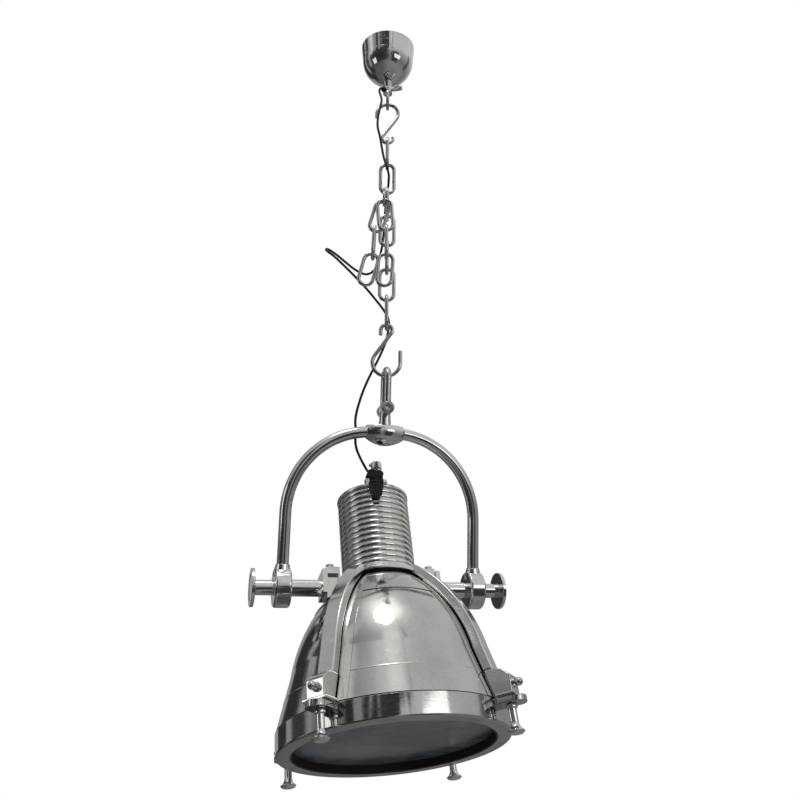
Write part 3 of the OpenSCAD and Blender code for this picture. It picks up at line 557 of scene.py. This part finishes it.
CROWN_Z, CROWN_R, CROWN_H = 7.0, 81.0, 16.0
crown_step = CROWN_H / 3
crown_section = [
    (NECK_BORE, CROWN_Z), (CROWN_R, CROWN_Z), (CROWN_R, CROWN_Z + crown_step),
    (CROWN_R - 4, CROWN_Z + crown_step), (CROWN_R - 4, CROWN_Z + 2 * crown_step),
    (NECK_R + 3, CROWN_Z + 2 * crown_step),
    (NECK_R + 3, CROWN_Z + CROWN_H), (NECK_BORE, CROWN_Z + CROWN_H)]
piece("crown_stepped", turned(crown_section, edge=1.2, steps=128, ring=True), HEAD, "head", nickel, "crown")

CAP_Z = 179.0
cap_section = [(0, CAP_Z), (NECK_R + 1, CAP_Z), (NECK_R + 1, CAP_TOP), (0, CAP_TOP)]
piece("cap_turned", turned(cap_section, edge=3.0, steps=128, segments=5), HEAD, "head", nickel, "cap")

# Rim with its four lugs, and the black packing inside it

LUG_TOP, LUG_T, LUG_R, SCREW_R, LUG_PAST = -245.5, 10.0, 17.0, 215.0, 9.0
LUG_ROOT_R = 189
PANE_R, RIM_OPEN_R, SEAL_R, REBATE_R = 168, 171, 184, 185
REBATE_UP, SEAL_UP = 12, 15


def rim_lug():
    """A flat tongue with a round end."""
    bm = block((LUG_ROOT_R, -LUG_R, LUG_TOP - LUG_T), (SCREW_R + LUG_PAST + LUG_R, LUG_R, LUG_TOP))
    ends = [e for e in bm.edges if all(v.co.x > SCREW_R for v in e.verts)
            and abs(e.verts[0].co.z - e.verts[1].co.z) > 1]
    ease(bm, LUG_R * 0.98, ends, segments=9)
    return ease(bm, 1.0)


rim_section = [(RIM_OPEN_R, RIM_Z), (RIM_R, RIM_Z), (RIM_R, RIM_TOP), (REBATE_R, RIM_TOP),
               (REBATE_R, RIM_Z + REBATE_UP), (RIM_OPEN_R, RIM_Z + REBATE_UP)]
rim = turned(rim_section, edge=0, steps=160, ring=True)
low_corner = [e for e in rim.edges
              if all(abs(v.co.z - RIM_Z) < 0.01 and v.co.xy.length > RIM_R - 0.1 for v in e.verts)]
ease(rim, 4.0, low_corner, segments=5)
ease(rim, 0.6, segments=2)
lugs = [placed(rim_lug(), spun(turn)) for turn in STRAP_TURNS]
rim_piece = piece("rim_with_lugs", joined(rim, *lugs), HEAD, "head", spun_nickel_painted_shade, "rim_ring")
rim_piece.data.materials.append(rim_satin)
head_up = HEAD.to_3x3().normalized() @ Vector((0, 0, 1))
face_height = (HEAD @ Vector((0, 0, RIM_Z + 0.2))).dot(head_up)
for polygon in rim_piece.data.polygons:
    if polygon.center.dot(head_up) < face_height:
        polygon.material_index = 1

seal_section = [(PANE_R, RIM_Z + 1), (RIM_OPEN_R, RIM_Z + 1), (RIM_OPEN_R, RIM_Z + REBATE_UP),
                (SEAL_R, RIM_Z + REBATE_UP), (SEAL_R, RIM_Z + SEAL_UP), (PANE_R, RIM_Z + SEAL_UP)]
piece("glass_packing", turned(seal_section, edge=0.8, steps=144, ring=True),
      HEAD, "head", black_rubber, "glass_seal")

# Straps with their feet

STRAP_W, STRAP_GAP, STRAP_T = 30.0, 3.0, 16.0
FOOT_W, FOOT_OUT, FOOT_TOP = 32.0, 226.0, -199.5
FLANGE_T, FLANGE_PAST = 5.0, 5.0
SEAM_HALF_W = 33


def strap_bar():
    """A bar bent along the shade."""
    first = dome_top_angle + math.radians(0.5)

    def bent(offset):
        return dome_arc(offset, first, dome_low_angle, 30) + [(CREASE.x + offset, CREASE.y - 1)]

    return sawn(bent(STRAP_GAP) + bent(STRAP_GAP + STRAP_T)[::-1], STRAP_W)


def seam_strip(half_width):
    """The sheet doubled under a strap: a band of the shade's own curve, trimmed to an even width."""
    bm = outline(shade_line(COVER_TOP) + shade_line(COVER_GAP)[::-1], True)
    bm.transform(spun(-40))
    bmesh.ops.spin(bm, geom=bm.verts[:] + bm.edges[:], axis=(0, 0, 1), cent=(0, 0, 0),
                   angle=math.radians(80), steps=40)
    for side in (-1, 1):
        cut = bmesh.ops.bisect_plane(
            bm, geom=bm.verts[:] + bm.edges[:] + bm.faces[:], plane_co=(0, side * half_width, 0),
            plane_no=(0, side, 0), clear_outer=True)["geom_cut"]
        bmesh.ops.holes_fill(bm, edges=[g for g in cut if isinstance(g, bmesh.types.BMEdge)])
    return ease(heal(bm), 0.5, segments=2, sharp=60)


for number, turn in enumerate(STRAP_TURNS, 1):
    at_strap = HEAD @ spun(turn)
    piece(f"strap_seam_{number}", seam_strip(SEAM_HALF_W), at_strap, "head", spun_nickel_painted_shade)
    foot_side = [(198, LUG_TOP), (FOOT_OUT, LUG_TOP), (FOOT_OUT, FOOT_TOP - 14),
                 (FOOT_OUT - 12, FOOT_TOP - 3), (FOOT_OUT - 24, FOOT_TOP), (184.6, FOOT_TOP),
                 (198, SKIRT.y)]
    foot = ease(sawn(foot_side, FOOT_W), 1.6)
    flange = ease(block((199, -FOOT_W / 2 - FLANGE_PAST, LUG_TOP),
                        (FOOT_OUT + FLANGE_PAST, FOOT_W / 2 + FLANGE_PAST, LUG_TOP + FLANGE_T)), 1.4)
    bar = ease(strap_bar(), 2.6, segments=4, sharp=60)
    piece(f"strap_bent_{number}", joined(bar, foot, flange), at_strap, "head", nickel, f"strap_{number}")

# Thumbscrews, foot bolts and lock knobs

THUMB_D, THUMB_FOOT_D, THUMB_LEN = 10.0, 29.0, 44.0
THUMB_TOP = LUG_TOP - LUG_T - 0.3


def thumbscrew():
    """A screw with a slim waist that flares out to its foot."""
    foot, slim, flare = THUMB_FOOT_D / 2, 6.5, 15.0
    sweep = math.acos((slim + flare - foot) / flare)
    arc_z = 4 - THUMB_LEN + flare * math.sin(sweep)
    waist = [(slim + flare - flare * math.cos(a), arc_z - flare * math.sin(a))
             for a in (sweep * i / 8 for i in range(9))]
    section = [(0, LUG_T + 14), (THUMB_D / 2, LUG_T + 14), (THUMB_D / 2, 0), (9, 0), (9, -6), (slim, -6)]
    section += waist + [(foot, 4 - THUMB_LEN), (foot - 4, -THUMB_LEN), (0, -THUMB_LEN)]
    return turned(section, edge=1.2, steps=48)


for number, turn in enumerate(STRAP_TURNS, 1):
    piece(f"thumbscrew_turned_{number}", thumbscrew(), HEAD @ spun(turn) @ shift(SCREW_R, 0, THUMB_TOP),
          f"thumbscrew_{number}", nickel, f"thumbscrew_{number}")

BALL_R, BALL_UP, BOLT_UP = 6.5, 8, 21
bolt_section = [(0, -10), (3, -10), (3, 0), (7.5, 0), (7.5, 3), (4.2, 3)]
bolt_section += [(BALL_R * math.sin(a), BALL_UP - BALL_R * math.cos(a))
                 for a in (math.radians(40 + 14 * i) for i in range(11))]
bolts = []
for turn in STRAP_TURNS:
    bolt = turned(bolt_section, edge=0.5, steps=32)
    bolts.append(placed(bolt, spun(turn) @ shift(FOOT_OUT, 0, LUG_TOP + BOLT_UP) @ LIE_X))
piece("foot_bolts_turned", joined(*bolts), HEAD, "head", chain_nickel, "foot_bolts")

KNOB_X, KNOB_STEM, KNOB_STEM_R, KNOB_R, KNOB_T, STUD_R = 198.5, 34.0, 13.5, 34.0, 6.0, 8.05
KNOB_DISH, STUD_END = 0.8, 3
knob_face = KNOB_STEM + KNOB_T
knob_section = [
    (STUD_R, 0), (KNOB_STEM_R, 0), (KNOB_STEM_R, KNOB_STEM), (KNOB_R, KNOB_STEM), (KNOB_R, knob_face),
    (KNOB_R - 9, knob_face), (KNOB_R - 10, knob_face - KNOB_DISH), (0, knob_face - KNOB_DISH),
    (0, KNOB_STEM + STUD_END), (STUD_R, KNOB_STEM + STUD_END)]
SIDES = (("left", MIRROR_X), ("right", Matrix()))
for side, matrix in SIDES:
    piece(f"knob_turned_{side}", turned(knob_section, edge=1.8, steps=80, ring=True),
          HEAD @ matrix @ shift(KNOB_X, 0, 0) @ LIE_X, f"knob_{side}", nickel, f"knob_{side}")

# Yoke: bent arms and their collars

YOKE_R, BEND_R, ARC_Z, ARM_END, TUBE_R = 183.0, 160.0, 133.0, 29.0, 11.0


def yoke_arm():
    """A tube that rises from its collar and bends over to the boss."""
    bm = bmesh.new()
    ring = bmesh.ops.create_circle(bm, radius=TUBE_R, segments=32, matrix=shift(YOKE_R, 0, ARM_END))["verts"]
    edges = bm.edges[:]
    grown = bmesh.ops.extrude_edge_only(bm, edges=edges)["geom"]
    ring = [g for g in grown if isinstance(g, bmesh.types.BMVert)]
    edges = [g for g in grown if isinstance(g, bmesh.types.BMEdge) and all(v in ring for v in g.verts)]
    bmesh.ops.translate(bm, vec=(0, 0, ARC_Z - ARM_END), verts=ring)
    bmesh.ops.spin(bm, geom=ring + edges, axis=(0, -1, 0), cent=(YOKE_R - BEND_R, 0, ARC_Z),
                   angle=math.radians(90), steps=40)
    bmesh.ops.holes_fill(bm, edges=[e for e in bm.edges if e.is_boundary])
    return heal(bm)


COLLAR_R, COLLAR_W, SHAFT_R = 35.0, 30.0, 15.05


def yoke_collar():
    """A drum on the trunnion shaft, with a tapered socket for the arm."""
    drum = turned([(SHAFT_R, 0), (COLLAR_R, 0), (COLLAR_R, COLLAR_W), (SHAFT_R, COLLAR_W)],
                  edge=0, steps=96, ring=True)
    outer = [e for e in drum.edges if all(v.co.xy.length > COLLAR_R - 0.1 for v in e.verts)
             and abs(e.verts[0].co.z - e.verts[1].co.z) < 0.01]
    ease(drum, 4.5, outer, segments=5)
    placed(drum, shift(YOKE_R - COLLAR_W / 2, 0, 0) @ LIE_X)
    socket = turned([(TUBE_R, 20), (17, 20), (15, 32), (13.2, 38), (12.5, 42), (TUBE_R, 42)],
                    edge=0.7, steps=64, ring=True)
    placed(socket, shift(YOKE_R, 0, 0))
    return joined(drum, socket)


for side, matrix in SIDES:
    piece(f"arm_bent_{side}", yoke_arm(), LAMP @ matrix, "yoke", nickel, f"arm_{side}")
    piece(f"collar_drum_{side}", yoke_collar(), LAMP @ matrix, "yoke", nickel, f"collar_{side}")

# Shackle pin with a socket in its head

PIN_Z, PIN_R, PIN_HEAD_R, PIN_HEAD, BOW_OUT, BOW_YAW = 339.0, 6.0, 11.0, 6.0, 27, -5
PIN_PAST, SOCKET_FLOOR = 9, 1.5
pin_section = [
    (0, -BOW_OUT - PIN_PAST), (PIN_R, -BOW_OUT - PIN_PAST), (PIN_R, BOW_OUT), (PIN_HEAD_R, BOW_OUT),
    (PIN_HEAD_R, BOW_OUT + PIN_HEAD), (4.2, BOW_OUT + PIN_HEAD), (3.6, BOW_OUT + SOCKET_FLOOR),
    (0, BOW_OUT + SOCKET_FLOOR)]
piece("pin_turned", turned(pin_section, edge=1.4, steps=48),
      LAMP @ spun(BOW_YAW - 90) @ shift(0, 0, PIN_Z) @ LIE_X, "shackle", chain_nickel, "shackle_pin")

# Studio: floor, soft lamps and the room that the metal mirrors

FLOOR_R, FLOOR_Z = 3.0, -2.3
floor_bm = bmesh.new()
bmesh.ops.create_circle(floor_bm, cap_ends=True, radius=FLOOR_R, segments=96, matrix=shift(0, 0, FLOOR_Z))
floor_mesh = bpy.data.meshes.new("floor")
floor_bm.to_mesh(floor_mesh)
floor_bm.free()
floor = bpy.data.objects.new("floor", floor_mesh)
scene.collection.objects.link(floor)
floor.visible_glossy = False


def pale_floor(tree, at):
    return {"Base Color": tree.mixed(tree.noise(at, 3.0), grey(0.90), grey(0.88)), "Roughness": 0.8}


floor_mesh.materials.append(finish("pale_floor", None, pale_floor))


def soft_lamp(name, place, target, size, strength, shape="RECTANGLE"):
    """A soft lamp whose face has that brightness."""
    data = bpy.data.lights.new(name, "AREA")
    data.shape = shape
    data.size, data.size_y = size
    data.energy = strength * math.pi * size[0] * size[1]
    lamp = bpy.data.objects.new(name, data)
    lamp.location = place
    lamp.rotation_euler = (Vector(target) - Vector(place)).to_track_quat("-Z", "Y").to_euler()
    scene.collection.objects.link(lamp)


aim = (0, 0, -1.2)
soft_lamp("lamp_overhead", (-0.23, -0.31, 0.45), aim, (0.55, 0.45), 2.6, "ELLIPSE")
soft_lamp("lamp_right", (1.0, -1.9, -0.39), aim, (1.05, 0.65), 1.0)
soft_lamp("lamp_left", (-2.03, -0.32, -0.64), aim, (0.60, 0.85), 0.95)

world = bpy.data.worlds.new("room")
scene.world = world
room = Tree(world)
way = room.node("ShaderNodeTexCoord", out="Generated")
side, ahead, up = (room.node("ShaderNodeSeparateXYZ", {}, {0: way}, out=i) for i in range(3))
rise = 0.5 + 0.5 * up
turn = room.node("ShaderNodeMath", {"operation": "ARCTAN2"}, {0: side, 1: 0.0 - ahead}) * (180 / math.pi)


def patch(value, low, high, soft):
    """One between two limits, fading to nothing past them."""
    return room.graded(value, low - soft, low + soft) * room.graded(value, high - soft, high + soft, 1.0, 0.0)


pale_wall = room.ramp(
    rise, (0.0, grey(0.17)), (0.15, grey(0.22)), (0.36, grey(0.15)), (0.50, grey(0.26)), (0.60, grey(0.34)),
    (0.66, grey(0.46)), (0.75, grey(0.56)), (0.84, grey(0.60)), (0.93, grey(0.56)), (0.965, grey(0.60)),
    (0.985, grey(0.80)), (0.997, grey(1.5)))
dim_wall = room.ramp(
    rise, (0.0, grey(0.12)), (0.20, grey(0.10)), (0.42, grey(0.03)), (0.54, grey(0.04)), (0.63, grey(0.12)),
    (0.70, grey(0.24)), (0.80, grey(0.32)), (0.90, grey(0.32)), (0.95, grey(0.48)), (0.975, grey(0.90)),
    (0.99, grey(1.5)))
clutter = room.noise(stretched(room, way, 3.0, 3.0, 1.2), 2.2, 2.0, 0.5)
walls = room.mixed(room.graded(side - 0.3 * ahead + 0.12 * clutter, -0.39, 0.21), dim_wall, pale_wall)
wobbled = turn + 24.0 * (clutter - 0.5)
post = patch(wobbled, -49, -43, 1.5) * patch(up, 0.1, 0.64, 0.04)
dresser = patch(wobbled, -36, -17, 2.0) * patch(up, 0.0, 0.66, 0.05)
low_shelf = patch(wobbled, -85, -12, 5.0) * patch(up, -0.5, 0.36, 0.06)
sofa = patch(wobbled, 2, 34, 3.0) * patch(up, -0.55, 0.15, 0.04)
door = patch(wobbled, 82, 94, 2.0) * patch(up, -0.4, 0.42, 0.03)


def darkest(*patches):
    """The strongest of several patches at each place."""
    most = patches[0]
    for one in patches[1:]:
        most = room.node("ShaderNodeMath", {"operation": "MAXIMUM"}, {0: most, 1: one})
    return most


junk = room.noise(way, 5.5, 2.0, 0.5)
alcove = patch(wobbled, -70, 6, 4.0) * patch(up, 0.30, 0.67, 0.04)
cupboard = patch(wobbled, -162, -139, 2.5) * patch(up, -0.6, 0.70, 0.05)
coat_stand = patch(wobbled, -130, -112, 2.5) * patch(up, -0.6, 0.62, 0.05)
corner = patch(wobbled, 18, 23, 2.0) * patch(up, 0.66, 0.96, 0.03)
behind = (room.graded(turn * turn, 9000.0, 11500.0) * patch(up, -0.25, 0.75, 0.12)
          * room.graded(side, 0.3, 0.0))
walls = room.mixed(0.8 * behind, walls, grey(0.42))
dark = darkest(0.93 * post, 0.75 * low_shelf, 0.9 * sofa, 0.7 * door, 0.3 * corner, 0.95 * cupboard,
               0.9 * coat_stand, 0.93 * dresser, alcove * room.graded(junk, 0.46, 0.50, 0.0, 0.97))
mirrored = room.mixed(dark, walls, grey(0.02))
skylight = patch(turn, -30, 8, 9.0) * patch(up, 0.86, 0.96, 0.05)
mirrored = room.mixed(0.7 * skylight, mirrored, grey(1.0))
tall_window = patch(turn, -101, -84, 4.0) * patch(up, 0.30, 0.86, 0.12)
mirrored = room.mixed(0.6 * tall_window, mirrored, grey(0.9))
path_camera = room.node("ShaderNodeLightPath", out="Is Camera Ray")
path_glossy = room.node("ShaderNodeLightPath", out="Is Glossy Ray")
seen = room.mixed(path_glossy, grey(0.5), mirrored)
seen = room.mixed(path_camera, seen, grey(1.0))
background = room.node("ShaderNodeBackground", {}, {"Color": seen, "Strength": 1.0})
room.node("ShaderNodeOutputWorld", {}, {"Surface": background})
